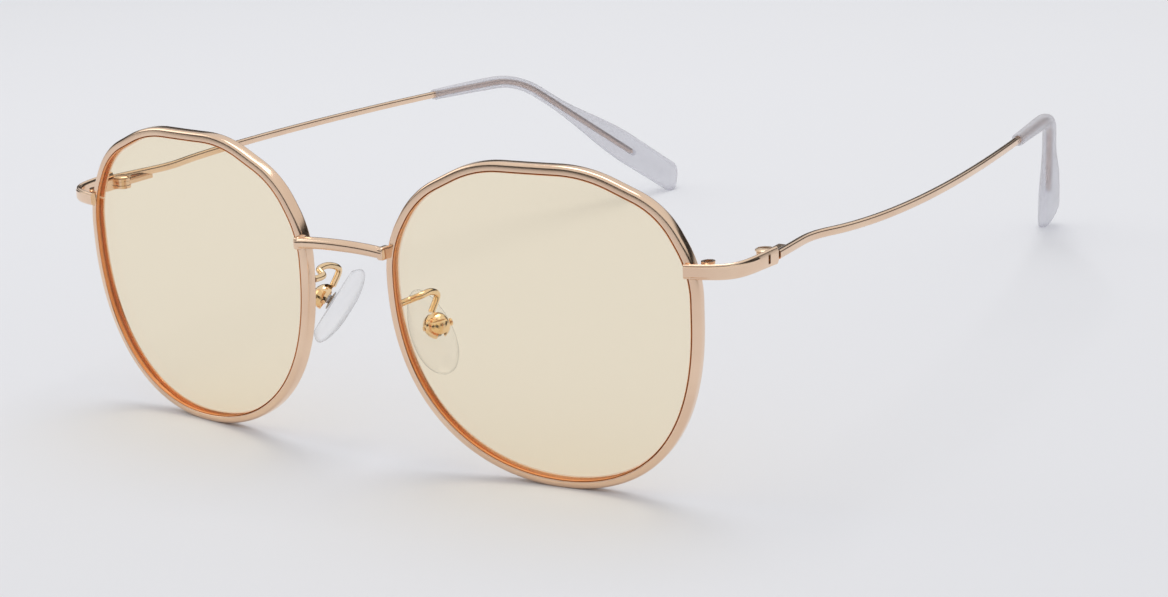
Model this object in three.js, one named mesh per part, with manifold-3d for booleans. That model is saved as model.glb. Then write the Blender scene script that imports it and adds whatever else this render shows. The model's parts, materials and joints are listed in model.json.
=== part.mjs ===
// Blue light glasses: two wire-thin metal rims with pale yellow lenses, a round bridge bar, flat
// end pieces with three-barrel hinges, bowed temple wires in clear sleeves, and rocking nose pads.
//
// Frame, in millimetres: +Z is up, the lenses face -Y, and the temples run back along +Y. +X is the
// wearer's left. The glasses stand open on both rim bottoms and both temple tips, at Z = 0.
// Each side is built once, for +X, and mirrored for -X. A piece is named for the wearer's side.
import * as THREE from 'three';
import { mergeVertices } from 'three/addons/utils/BufferGeometryUtils.js';
import Module from 'manifold-3d';

const wasm = await Module();
wasm.setup();

// ---------------------------------------------------------------- driving dimensions
// Eye shape, measured to the outside of the rim.
const eyeHalfWidth = 25.1;
const eyeHalfHeight = 24.5;
const bridgeGap = 15.3;               // between the two rims, at their nearest
const eyeCornersUp = [                // the six soft corners of the upper half, as shares of the half sizes
  [1.0, 0.43], [0.795, 0.795], [0.34, 1.0],
  [-0.365, 1.0], [-0.797, 0.778], [-1.0, 0.43],
];
const cornerSoftness = 4.5;           // how far before each corner its curve begins
const temporalStart = 0.14;           // where the round lower half leaves the temporal side
const nasalEnd = 0.22;                // and where it meets the nasal side
const bottomLean = 0.09;              // the lowest point lies a little to the temporal side
const temporalFullness = [0.72, 0.58];
const nasalFullness = [0.54, 0.87];

// How the eyes sit in the front.
const baseRadius = 141;               // front curve of the lens
const wrap = THREE.MathUtils.degToRad(6.3);
const tilt = THREE.MathUtils.degToRad(2.0);
const footDepth = 0.15;               // how much of the rim's lowest point is worn flat

// Rim wire: its depth runs front to back and its wall runs towards the lens.
const rimDepth = 2.0;
const rimWall = 1.25;
const rimChamfer = 0.3;
const grooveDepth = 0.6;
const grooveMouth = 1.3;
const grooveFloor = 0.5;
const rimStations = 64;
const rimSplit = 0.4;                 // gap in the rim at the lock

// Lens.
const lensThickness = 1.8;
const lensEdgeGap = 0.12;             // lens edge to the rim's inner wall
const bevelGap = 0.18;                // bevel tip to the groove floor
const bevelTipWidth = 0.2;
const bevelRootWidth = 0.9;
const lensStations = 48;

// Bridge bar.
const bridgeDiameter = 1.8;
const bridgeHeight = 9.65;            // above the eye centre
const bridgeArch = 0.45;              // how far its middle stands above its ends
const bridgeBow = 0.11;               // and in front of them, as its curve is drawn
const bridgeOverlap = 0.25;           // how far each end laps over the rim
const bridgeFoot = new THREE.Vector3(0.95, 1.7, 1.9);   // the solder block at each end
const seatGap = 0.12;                 // between soldered pieces

// Rim lock: a split barrel with a screw that closes the rim round the lens.
const lockHeight = 10.8;              // above the eye centre
const lockRadius = 0.95;
const lockHalfLength = 1.0;
const lockSetback = 0.5;
const lockScrewRadius = 0.45;
const lockHeadRadius = 0.75;
const lockHeadHeight = 0.35;
const lockHeadTop = 0.6;              // flat share of the head's top
const lockSlotWidth = 0.25;

// End piece: a flat blade from the rim front round to the hinge.
const bladeFrontHeight = 2.1;
const bladeRearHeight = 2.6;
const bladeThickness = 0.9;
const bladeChamfer = 0.18;
const bladeLap = 1.3;                 // how far its square end laps over the rim
const bladeOverrun = 0.6;             // straight past the rim's edge, before its outward bend
const bladeRun = 4.6;                 // reach of its outward bend
const bladeStraight = 4.6;            // straight stretch at the hinge
const bladeSplay = 0.1;               // how far its rear stretch leans out, as a slope
const bladeBeyondAxis = -0.55;        // its rear end stops short of the hinge axis
const slotWidth = 0.55;
const slotHeight = 1.3;
const slotBeforeAxis = 2.95;

// Hinge.
const hingeOutset = 4.9;              // hinge axis outside the rim's temporal edge
const hingeSetback = 11.2;            // and behind it
const hingeDrop = 0.6;                // hinge below the blade's middle line
const barrelRadius = 1.35;
const barrelHalfLength = 0.85;
const middleHalfLength = 0.32;
const hingePlay = 0.06;               // between neighbouring barrels
const pinRadius = 0.6;
const pinPlay = 0.09;
const screwHeadRadius = 1.5;
const screwHeadHeight = 0.4;
const screwSlotWidth = 0.35;
const screwSlotDepth = 0.35;
const leafThickness = 0.7;
const leafLength = 3.6;
const leafWeb = 0.6;                  // how far the web from plate to barrel starts before the barrel
const middleBarrelPlay = 0.1;         // the middle barrel is this much smaller in radius
const templeLeafLength = 6.2;
const templeLeafWidth = 1.9;

// Temple: a bowed wire with a kink behind the hinge, and a sleeve from its mouth to the tip.
const wireWidth = 1.05;
const wireHeight = 1.3;
const wireClearance = 0.145;          // wire's inner face to the barrels
const wireGap = 0.3;                  // wire's front end to the blade's rear end, the open stop
const kinkBack = 12.92;               // behind the hinge axis
const kinkIn = 1.0;                   // towards the head, from the wire's front end
const kinkDrop = 0.4;                 // below the hinge
const kinkRadius = 4;                 // how far each side of the kink its curve begins
// The bow is one curve from kink to bend. Each handle is given from its own end: out, along, up.
const bowFrontHandle = new THREE.Vector3(7.96, 24.9, -1.31);
const bowRearHandle = new THREE.Vector3(4.69, -35.96, 1.4);
const bendBack = 119.05;              // bend corner behind the hinge axis
const bendIn = 1.95;                  // towards the head, from the wire's front end
const bendDrop = 2.95;                // below the hinge
const bendRadius = 7.5;
const tipBack = 42.2;                 // tip end behind the bend corner
const tipIn = 14.1;                   // towards the head, from the bend corner
const tipLift = 2.05;                 // middle of the tip's end above the ground
const sleeveLead = 26;                // sleeve in front of the bend
const coreEndShare = 0.72;            // how far down the drop the wire's core ends
const coreWidth = 1.1;
const coreHeight = 1.1;
const coreStart = 1;                  // the wire begins to thin this far inside the sleeve's mouth
const coreShoulder = 1.2;             // and thins over this length
const boreShoulder = 0.8;             // as the bore does, further in
const boreEndGap = 0.6;
const boreGap = 0.12;
const sleeveMouth = 2.2;
const sleeveNeck = 2.6;
const paddleWidth = 7.6;
const paddleThickness = 2.9;
const paddleFlare = 0.62;             // share of the drop over which the paddle widens
const paddleNose = 1.6;               // length of its rounded end
const paddleTwist = THREE.MathUtils.degToRad(14);
const rightTempleAjar = THREE.MathUtils.degToRad(1.4);   // the right temple stands this far off its stop

// Nose pad, its box and its arm.
const padCentre = new THREE.Vector3(8.55, 7.33, 20.15);
const padLength = 14.2;
const padWidth = 6.9;
const padThickness = 3.2;
const padTopAxis = new THREE.Vector3(-0.53, 0.22, 0.82);
const padFaceHint = new THREE.Vector3(-0.70, 0.42, -0.57);
const padSettle = 1.0;                // the left pad is set this much low, the right one high
const padLift = 1.3;                  // pad's back face above the rocking axis
const padTaper = 0.16;                // how much narrower it is at its top, and wider at its foot
const boxRadius = 2.1;
const boxTop = 0.2;
const domeSteps = 8;
const boxSlotWidth = 1.4;
const boxGrooveWidth = 0.4;
const boxGrooveDepth = 0.45;
const lugWidth = 0.9;
const lugRadius = 0.85;
const padPlateSize = new THREE.Vector3(3.0, 3.6, 0.4);
const padScrewRadius = 0.35;
const padScrewHeadRadius = 0.6;
const padScrewHeadHeight = 0.3;
const armDiameter = 1.05;
const armRootHeight = 2.0;            // arm root above the eye centre
// The arm's bends, from its root on the rim: outward, back, up.
const armBends = [
  new THREE.Vector3(0.1, 2.4, 0.0), new THREE.Vector3(1.5, 3.3, 0.6),
  new THREE.Vector3(1.6, 5.8, 0.6), new THREE.Vector3(1.3, 7.8, -0.5),
];

// ---------------------------------------------------------------- colours
const roseGold = { color: 0xd9a68a, roughness: 0.25, metalness: 1.0 };
const paleGold = { color: 0xe8c08a, roughness: 0.2, metalness: 1.0 };
const paleYellow = { color: 0xe6dab8, roughness: 0.05, metalness: 0.0, transparent: true, opacity: 0.6 };
const clearSleeve = { color: 0xd2d1d8, roughness: 0.35, metalness: 0.0, transparent: true, opacity: 0.7 };
const clearSilicone = { color: 0xe6e8ec, roughness: 0.3, metalness: 0.0, transparent: true, opacity: 0.6 };

// ---------------------------------------------------------------- solids
// A closed geometry with merged corners and its faces turned outwards.
function closeUp(geometry) {
  geometry.deleteAttribute('normal');
  geometry.deleteAttribute('uv');
  const merged = mergeVertices(geometry, 1e-5);
  const position = merged.attributes.position;
  const index = merged.index;
  const a = new THREE.Vector3();
  const b = new THREE.Vector3();
  const c = new THREE.Vector3();
  let volume = 0;
  for (let i = 0; i < index.count; i += 3) {
    a.fromBufferAttribute(position, index.getX(i));
    b.fromBufferAttribute(position, index.getX(i + 1));
    c.fromBufferAttribute(position, index.getX(i + 2));
    volume += a.dot(b.cross(c));
  }
  if (volume < 0) {
    for (let i = 0; i < index.count; i += 3) {
      const first = index.getX(i);
      index.setX(i, index.getX(i + 1));
      index.setX(i + 1, first);
    }
  }
  merged.computeVertexNormals();
  return merged;
}

function toSolid(geometry) {
  const closed = closeUp(geometry.clone());
  const vertProperties = new Float32Array(closed.attributes.position.array);
  const triVerts = new Uint32Array(closed.index.array);
  return new wasm.Manifold(new wasm.Mesh({ numProp: 3, vertProperties, triVerts }));
}

function fromSolid(solid) {
  const mesh = solid.getMesh();
  const geometry = new THREE.BufferGeometry();
  geometry.setAttribute('position', new THREE.BufferAttribute(new Float32Array(mesh.vertProperties), 3));
  geometry.setIndex(new THREE.BufferAttribute(new Uint32Array(mesh.triVerts), 1));
  geometry.computeVertexNormals();
  return geometry;
}

function joined(geometries) {
  let solid = toSolid(geometries[0]);
  for (const geometry of geometries.slice(1)) {
    solid = solid.add(toSolid(geometry));
  }
  return fromSolid(solid);
}

function cut(geometry, tools) {
  let solid = toSolid(geometry);
  for (const tool of tools) {
    solid = solid.subtract(toSolid(tool));
  }
  return fromSolid(solid);
}

// A section carried along a row of rings. place() puts each corner of the section in its ring.
function skin(outline, rings, place) {
  const shape = new THREE.Shape(outline);
  const settings = { depth: rings, steps: rings, bevelEnabled: false };
  const geometry = new THREE.ExtrudeGeometry(shape, settings);
  const position = geometry.attributes.position;
  for (let i = 0; i < position.count; i += 1) {
    const ring = Math.round(position.getZ(i));
    const point = place(position.getX(i), position.getY(i), ring);
    position.setXYZ(i, point.x, point.y, point.z);
  }
  return closeUp(geometry);
}

// A round section, squared off a little as squareness falls below one.
function roundSection(sides, squareness = 1) {
  const points = [];
  for (let i = 0; i < sides; i += 1) {
    const turn = ((i + 0.5) / sides) * Math.PI * 2;
    const x = Math.cos(turn);
    const y = Math.sin(turn);
    const power = (value) => Math.sign(value) * Math.abs(value) ** squareness;
    points.push(new THREE.Vector2(power(x), power(y)));
  }
  return points;
}

function box(width, depth, height, x, y, z) {
  const geometry = new THREE.BoxGeometry(width, depth, height);
  geometry.translate(x, y, z);
  return geometry;
}

// A cylinder standing along Z between two heights.
function post(radius, low, high, x, y, sides = 20) {
  const geometry = new THREE.CylinderGeometry(radius, radius, high - low, sides);
  geometry.rotateX(Math.PI / 2);
  geometry.translate(x, y, (low + high) / 2);
  return geometry;
}

// A solid of revolution about Z from a list of [radius, height] that starts and ends on the axis.
function turned(profile, x, y, z, sides = 20) {
  const points = profile.map(([radius, height]) => new THREE.Vector2(radius, height));
  const geometry = new THREE.LatheGeometry(points, sides);
  geometry.rotateX(Math.PI / 2);
  geometry.translate(x, y, z);
  return geometry;
}

// The frame of a path at a share of its length: where it is, its direction, and its two cross axes.
// side is the cross axis nearest to the hint, and up completes a right-handed set.
function frameOn(path, share, hint) {
  const centre = path.getPoint(share);
  const ahead = path.getPoint(Math.min(share + 0.002, 1));
  const behind = path.getPoint(Math.max(share - 0.002, 0));
  const along = ahead.sub(behind).normalize();
  const side = hint.clone().addScaledVector(along, -hint.dot(along)).normalize();
  const up = new THREE.Vector3().crossVectors(along, side);
  return { centre, along, side, up };
}

function inFrame(frame, sideways, upwards) {
  return frame.centre.clone().addScaledVector(frame.side, sideways).addScaledVector(frame.up, upwards);
}

const outward = new THREE.Vector3(1, 0, 0);
const upright = new THREE.Vector3(0, 0, 1);

// ---------------------------------------------------------------- the eye's own frame
const eyeCentre = new THREE.Vector3(
  bridgeGap / 2 + eyeHalfWidth * Math.cos(wrap),
  0,
  eyeHalfHeight * Math.cos(tilt) - footDepth,
);

// A point of the eye: x to the temporal side and z up in the lens plane, and back behind its surface.
function onEye(x, z, back) {
  const sag = (x * x + z * z) / (2 * baseRadius) + back;
  const y = sag * Math.cos(tilt) - z * Math.sin(tilt);
  const height = z * Math.cos(tilt) + sag * Math.sin(tilt);
  return new THREE.Vector3(
    eyeCentre.x + x * Math.cos(wrap) - y * Math.sin(wrap),
    eyeCentre.y + x * Math.sin(wrap) + y * Math.cos(wrap),
    eyeCentre.z + height,
  );
}

// The outside of the rim: straight facets with soft corners above, one round sweep below.
// It starts and ends at the rim lock and runs over the top.
function eyeOutline() {
  const corners = eyeCornersUp.map(([x, z]) => new THREE.Vector2(x * eyeHalfWidth, z * eyeHalfHeight));
  const start = new THREE.Vector2(eyeHalfWidth, temporalStart * eyeHalfHeight);
  const end = new THREE.Vector2(-eyeHalfWidth, nasalEnd * eyeHalfHeight);
  const bottom = new THREE.Vector2(bottomLean * eyeHalfWidth, -eyeHalfHeight);
  const stops = [start, ...corners, end];
  const path = new THREE.Path();
  path.moveTo(start.x, start.y);
  for (let i = 1; i < stops.length - 1; i += 1) {
    const corner = stops[i];
    const before = stops[i - 1].clone().sub(corner).setLength(cornerSoftness).add(corner);
    const after = stops[i + 1].clone().sub(corner).setLength(cornerSoftness).add(corner);
    path.lineTo(before.x, before.y);
    path.quadraticCurveTo(corner.x, corner.y, after.x, after.y);
  }
  path.lineTo(end.x, end.y);
  path.bezierCurveTo(
    end.x, end.y - nasalFullness[1] * eyeHalfHeight,
    bottom.x - nasalFullness[0] * eyeHalfWidth, bottom.y,
    bottom.x, bottom.y,
  );
  path.bezierCurveTo(
    bottom.x + temporalFullness[1] * eyeHalfWidth, bottom.y,
    start.x, start.y - temporalFullness[0] * eyeHalfHeight,
    start.x, start.y,
  );
  return path;
}

const outline = eyeOutline();
const outlineLength = outline.getLength();

// Where the outline reaches a height: up its temporal side, or back up its nasal side from the bottom.
function temporalShare(height) {
  let share = 0;
  while (outline.getPoint(share).y < height) {
    share += 0.0005;
  }
  return share;
}

function nasalShare(height) {
  let share = 0.5;
  while (outline.getPoint(share).y < height) {
    share -= 0.0005;
  }
  return share;
}

const splitShare = temporalShare(lockHeight);
const lockEdge = outline.getPoint(splitShare);

// A point inset from the outline, at a share of its length counted from the rim lock.
function insetPoint(share, inset) {
  const place = (share + splitShare) % 1;
  const point = outline.getPoint(place);
  const ahead = outline.getPoint((place + 0.001) % 1);
  const behind = outline.getPoint((place + 0.999) % 1);
  const along = ahead.sub(behind).normalize();
  return new THREE.Vector2(point.x - along.y * inset, point.y + along.x * inset);
}

// ---------------------------------------------------------------- front pieces
// The rim's section: x is the inset from the outside, y is how far back. The groove opens inwards.
function rimSection() {
  const half = rimDepth / 2;
  return [
    new THREE.Vector2(0, -half + rimChamfer),
    new THREE.Vector2(rimChamfer, -half),
    new THREE.Vector2(rimWall - rimChamfer / 2, -half),
    new THREE.Vector2(rimWall, -half + rimChamfer / 2),
    new THREE.Vector2(rimWall, -grooveMouth / 2),
    new THREE.Vector2(rimWall - grooveDepth, -grooveFloor / 2),
    new THREE.Vector2(rimWall - grooveDepth, grooveFloor / 2),
    new THREE.Vector2(rimWall, grooveMouth / 2),
    new THREE.Vector2(rimWall, half - rimChamfer / 2),
    new THREE.Vector2(rimWall - rimChamfer / 2, half),
    new THREE.Vector2(rimChamfer, half),
    new THREE.Vector2(0, half - rimChamfer),
  ];
}

// The ground under one side, for wearing a small flat on what stands on it.
function groundBlock() {
  return box(120, 240, 20, 60, 80, -10);
}

function rimGeometry() {
  const halfSplit = rimSplit / 2 / outlineLength;
  const ring = skin(rimSection(), rimStations, (inset, back, station) => {
    const share = halfSplit + (1 - 2 * halfSplit) * (station / rimStations);
    const point = insetPoint(share, inset);
    return onEye(point.x, point.y, back);
  });
  return cut(ring, [groundBlock()]);
}

// The lens: a disc of the eye's shape with a V bevel that sits in the rim's groove.
// Its profile runs from the front's middle over the edge to the back's middle, as the share of the
// way in to the middle, the inset from the rim's outside, and the depth.
function lensGeometry() {
  const edge = rimWall + lensEdgeGap;
  const tip = rimWall - grooveDepth + bevelGap;
  const half = lensThickness / 2;
  const profile = [
    [1, edge, -half], [0.5, edge, -half], [0, edge, -half],
    [0, edge, -bevelRootWidth / 2], [0, tip, -bevelTipWidth / 2],
    [0, tip, bevelTipWidth / 2], [0, edge, bevelRootWidth / 2],
    [0, edge, half], [0.5, edge, half], [1, edge, half],
  ];
  // A plain lathe gives the net of faces: its height is the profile's row and its turn the rim's share.
  const points = profile.map(([inwards], row) => new THREE.Vector2(1 - inwards, row));
  const geometry = new THREE.LatheGeometry(points, lensStations);
  const turns = geometry.attributes.uv;
  const position = geometry.attributes.position;
  for (let i = 0; i < position.count; i += 1) {
    const [inwards, inset, back] = profile[Math.round(position.getY(i))];
    const rimPoint = insetPoint(turns.getX(i) % 1, inset).multiplyScalar(1 - inwards);
    const point = onEye(rimPoint.x, rimPoint.y, back);
    position.setXYZ(i, point.x, point.y, point.z);
  }
  return closeUp(geometry);
}

// The bridge bar lies in front of both rims and arches up between them. Its flat ends lap over the
// rims, and a solder block behind each end stands against the rim's side.
function bridgeGeometry() {
  const nasal = outline.getPoint(nasalShare(bridgeHeight));
  const seat = onEye(nasal.x, nasal.y, -rimDepth / 2);
  const front = seat.y - seatGap - bridgeDiameter / 2;
  const end = new THREE.Vector3(seat.x + bridgeOverlap, front, seat.z);
  // A curve's middle reaches three quarters of the way to its handles.
  const handle = new THREE.Vector3(end.x / 2, front - bridgeBow, seat.z + bridgeArch * 4 / 3);
  const path = new THREE.CubicBezierCurve3(
    end.clone().multiply(new THREE.Vector3(-1, 1, 1)),
    handle.clone().multiply(new THREE.Vector3(-1, 1, 1)),
    handle,
    end,
  );
  const stations = 12;
  const bar = skin(roundSection(12), stations, (sideways, upwards, station) => {
    const frame = frameOn(path, station / stations, upright);
    return inFrame(frame, sideways * bridgeDiameter / 2, upwards * bridgeDiameter / 2);
  });
  const footX = seat.x - 2 * seatGap - bridgeFoot.x / 2;
  const footY = front + bridgeFoot.y / 2;
  const feet = [-footX, footX].map((x) => box(bridgeFoot.x, bridgeFoot.y, bridgeFoot.z, x, footY, seat.z));
  return joined([bar, ...feet]);
}

// One half of the rim lock, a short bored barrel outside the rim, above or below its split.
const lockSide = outline.getPoint(temporalShare(lockHeight - lockHalfLength));
const lockX = lockSide.x + lockRadius + seatGap;

function lockPart(geometry) {
  const position = geometry.attributes.position;
  for (let i = 0; i < position.count; i += 1) {
    const x = lockX + position.getX(i);
    const centre = onEye(lockX, lockHeight + position.getZ(i), lockSetback);
    const across = onEye(x, lockHeight + position.getZ(i), lockSetback + position.getY(i));
    position.setXYZ(i, across.x, across.y, centre.z);
  }
  return closeUp(geometry);
}

function lockHalfGeometry(direction) {
  const low = direction > 0 ? rimSplit / 2 : -lockHalfLength;
  const high = direction > 0 ? lockHalfLength : -rimSplit / 2;
  const barrel = post(lockRadius, low, high, 0, 0, 24);
  const bore = post(lockScrewRadius + pinPlay, -2 * lockHalfLength, 2 * lockHalfLength, 0, 0, 12);
  return lockPart(cut(barrel, [bore]));
}

function lockScrewGeometry() {
  const top = -lockHalfLength - seatGap;
  const profile = [
    [0, lockHalfLength - 0.3], [lockScrewRadius, lockHalfLength - 0.3], [lockScrewRadius, top],
    [lockHeadRadius, top], [lockHeadRadius, top - lockHeadHeight * 0.5],
    [lockHeadRadius * lockHeadTop, top - lockHeadHeight], [0, top - lockHeadHeight],
  ];
  const screw = closeUp(turned(profile, 0, 0, 0, 12));
  const slot = box(3 * lockHeadRadius, lockSlotWidth, lockHeadHeight, 0, 0, top - lockHeadHeight);
  return lockPart(cut(screw, [slot]));
}

// ---------------------------------------------------------------- end piece and hinge
const rimEdge = onEye(lockEdge.x, lockHeight, 0);
const hingeX = rimEdge.x + hingeOutset;
const hingeY = rimEdge.y + hingeSetback;
const bladeZ = rimEdge.z;
const hingeZ = bladeZ - hingeDrop;
const bladeX = hingeX + barrelRadius + seatGap + bladeThickness / 2;
const bladeRear = hingeY + bladeBeyondAxis;

// The blade's middle line: along the rim's front, out and round, then straight back past the hinge.
function bladePath() {
  const back = -rimDepth / 2 - seatGap - bladeThickness / 2;
  const start = onEye(lockEdge.x - bladeLap, lockHeight, back);
  const over = onEye(lockEdge.x + bladeOverrun, lockHeight, back);
  const ahead = over.clone().sub(start).setLength(bladeRun).add(over);
  const rear = new THREE.Vector3(bladeX, bladeRear, bladeZ);
  const forwards = new THREE.Vector3(-bladeSplay, -1, 0);
  const turn = rear.clone().addScaledVector(forwards, bladeStraight);
  const handle = turn.clone().addScaledVector(forwards, bladeRun);
  const path = new THREE.CurvePath();
  path.add(new THREE.LineCurve3(start, over));
  path.add(new THREE.CubicBezierCurve3(over, ahead, handle, turn));
  path.add(new THREE.LineCurve3(turn, rear));
  return path;
}

// The blade's section counts its height in levels: 2 is its edge, 1 is where the edge's chamfer begins.
function endPieceGeometry() {
  const path = bladePath();
  const halfThickness = bladeThickness / 2;
  const flat = halfThickness - bladeChamfer;
  const section = [
    new THREE.Vector2(-1, -halfThickness), new THREE.Vector2(1, -halfThickness),
    new THREE.Vector2(2, -flat), new THREE.Vector2(2, flat),
    new THREE.Vector2(1, halfThickness), new THREE.Vector2(-1, halfThickness),
    new THREE.Vector2(-2, flat), new THREE.Vector2(-2, -flat),
  ];
  const stations = 20;
  const blade = skin(section, stations, (level, sideways, station) => {
    const share = station / stations;
    const halfHeight = THREE.MathUtils.lerp(bladeFrontHeight, bladeRearHeight, share) / 2;
    const reach = Math.abs(level) > 1 ? halfHeight : halfHeight - bladeChamfer;
    return inFrame(frameOn(path, share, upright), Math.sign(level) * reach, sideways);
  });
  const slot = box(4 * bladeThickness, slotWidth, slotHeight, bladeX, hingeY - slotBeforeAxis, bladeZ);
  return cut(blade, [slot]);
}

// The hole down all three barrels.
function hingeBore() {
  const reach = 2 * barrelHalfLength;
  return post(pinRadius + pinPlay, hingeZ - reach, hingeZ + reach, hingeX, hingeY, 16);
}

// The front leaf: a plate behind the blade that carries the upper and lower barrels.
function frontLeafGeometry() {
  const inner = middleHalfLength + hingePlay;
  const plateX = hingeX + barrelRadius - leafThickness / 2 - bladeSplay * leafLength;
  const plateFront = hingeY - leafLength;
  const plateRear = hingeY - barrelRadius - 2 * hingePlay;
  const pieces = [
    box(leafThickness, plateRear - plateFront, 2 * barrelHalfLength, plateX,
      (plateRear + plateFront) / 2, hingeZ),
  ];
  for (const direction of [-1, 1]) {
    const low = Math.min(direction * inner, direction * barrelHalfLength);
    const high = Math.max(direction * inner, direction * barrelHalfLength);
    pieces.push(post(barrelRadius, hingeZ + low, hingeZ + high, hingeX, hingeY));
    pieces.push(box(leafThickness, barrelRadius + leafWeb, high - low, plateX,
      hingeY - (barrelRadius + leafWeb) / 2, hingeZ + (low + high) / 2));
  }
  return cut(joined(pieces), [hingeBore()]);
}

// The temple leaf: the middle barrel and the arm that is soldered along the wire.
function templeLeafGeometry() {
  const wireLean = kinkIn * (templeLeafLength / kinkBack);
  const wireInside = hingeX + barrelRadius + wireClearance - wireLean;
  const armX = wireInside - seatGap - templeLeafWidth / 2;
  const barrel = post(barrelRadius - middleBarrelPlay, hingeZ - middleHalfLength, hingeZ + middleHalfLength,
    hingeX, hingeY);
  const arm = box(templeLeafWidth, templeLeafLength, 2 * middleHalfLength, armX,
    hingeY + templeLeafLength / 2, hingeZ);
  return cut(joined([barrel, arm]), [hingeBore()]);
}

// The hinge screw: a plain shank through all three barrels under a low domed head with a slot.
function hingeScrewGeometry() {
  const seat = barrelHalfLength + seatGap;
  const profile = [
    [0, -barrelHalfLength + 0.1], [pinRadius, -barrelHalfLength + 0.1], [pinRadius, seat],
    [screwHeadRadius, seat], [screwHeadRadius, seat + screwHeadHeight * 0.35],
    [screwHeadRadius * 0.85, seat + screwHeadHeight * 0.7],
    [screwHeadRadius * 0.5, seat + screwHeadHeight * 0.95], [0, seat + screwHeadHeight],
  ];
  const screw = turned(profile, hingeX, hingeY, hingeZ, 28);
  const slot = box(3 * screwHeadRadius, screwSlotWidth, 2 * screwSlotDepth, hingeX, hingeY,
    hingeZ + seat + screwHeadHeight);
  return cut(screw, [slot]);
}

// ---------------------------------------------------------------- temple
const wireX = hingeX + barrelRadius + wireClearance + wireWidth / 2;
const wireStart = new THREE.Vector3(wireX, bladeRear + wireGap, bladeZ);
const kink = new THREE.Vector3(wireStart.x - kinkIn, hingeY + kinkBack, bladeZ - kinkDrop);
const bend = new THREE.Vector3(wireStart.x - bendIn, hingeY + bendBack, bladeZ - bendDrop);
const tipEnd = new THREE.Vector3(bend.x - tipIn, bend.y + tipBack, tipLift);

// The wire's middle line, as one path with its corners rounded.
function templePath() {
  const kinkStart = wireStart.clone().sub(kink).setLength(kinkRadius).add(kink);
  const bowFront = kink.clone().add(bowFrontHandle);
  const bowRear = bend.clone().add(bowRearHandle);
  const kinkEnd = bowFront.clone().sub(kink).setLength(kinkRadius).add(kink);
  const bendStart = bowRear.clone().sub(bend).setLength(bendRadius).add(bend);
  const bendEnd = tipEnd.clone().sub(bend).setLength(bendRadius).add(bend);
  const path = new THREE.CurvePath();
  path.add(new THREE.LineCurve3(wireStart, kinkStart));
  path.add(new THREE.QuadraticBezierCurve3(kinkStart, kink, kinkEnd));
  path.add(new THREE.CubicBezierCurve3(kinkEnd, bowFront, bowRear, bendStart));
  path.add(new THREE.QuadraticBezierCurve3(bendStart, bend, bendEnd));
  path.add(new THREE.LineCurve3(bendEnd, tipEnd));
  return path;
}

const temple = templePath();
const templeLengths = temple.getCurveLengths();
const templeLength = templeLengths[4];
const bendMiddle = (templeLengths[2] + templeLengths[3]) / 2;
const mouthAt = bendMiddle - sleeveLead;
const dropLength = templeLength - bendMiddle;
const coreEnd = bendMiddle + dropLength * coreEndShare;

// The temple's frame at a distance along it. The paddle turns a little towards the head.
function templeFrame(distance) {
  const frame = frameOn(temple, distance / templeLength, outward);
  const turn = THREE.MathUtils.smoothstep(distance, bendMiddle, templeLength) * paddleTwist;
  frame.side.applyAxisAngle(frame.along, turn);
  frame.up.applyAxisAngle(frame.along, turn);
  return frame;
}

// Evenly spaced distances along the temple.
function templeStops(from, to, count) {
  const stops = [];
  for (let i = 0; i <= count; i += 1) {
    stops.push(from + (to - from) * (i / count));
  }
  return stops;
}

// The wire: a soft rectangle up to the sleeve's mouth, then a thinner core inside the sleeve.
function wireGeometry() {
  const full = mouthAt + coreStart;
  const stops = [
    ...templeStops(0, templeLengths[0] + 8, 7).map((at) => [at, wireWidth, wireHeight]),
    ...templeStops(templeLengths[0] + 12, full, 14).map((at) => [at, wireWidth, wireHeight]),
    ...templeStops(full + coreShoulder, templeLengths[2], 5).map((at) => [at, coreWidth, coreHeight]),
    ...templeStops(templeLengths[2] + 2, templeLengths[3], 5).map((at) => [at, coreWidth, coreHeight]),
    ...templeStops(templeLengths[3] + 4, coreEnd, 4).map((at) => [at, coreWidth, coreHeight]),
  ];
  return skin(roundSection(8, 0.5), stops.length - 1, (sideways, upwards, station) => {
    const [at, width, height] = stops[station];
    return inFrame(templeFrame(at), sideways * width / 2, upwards * height / 2);
  });
}

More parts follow.
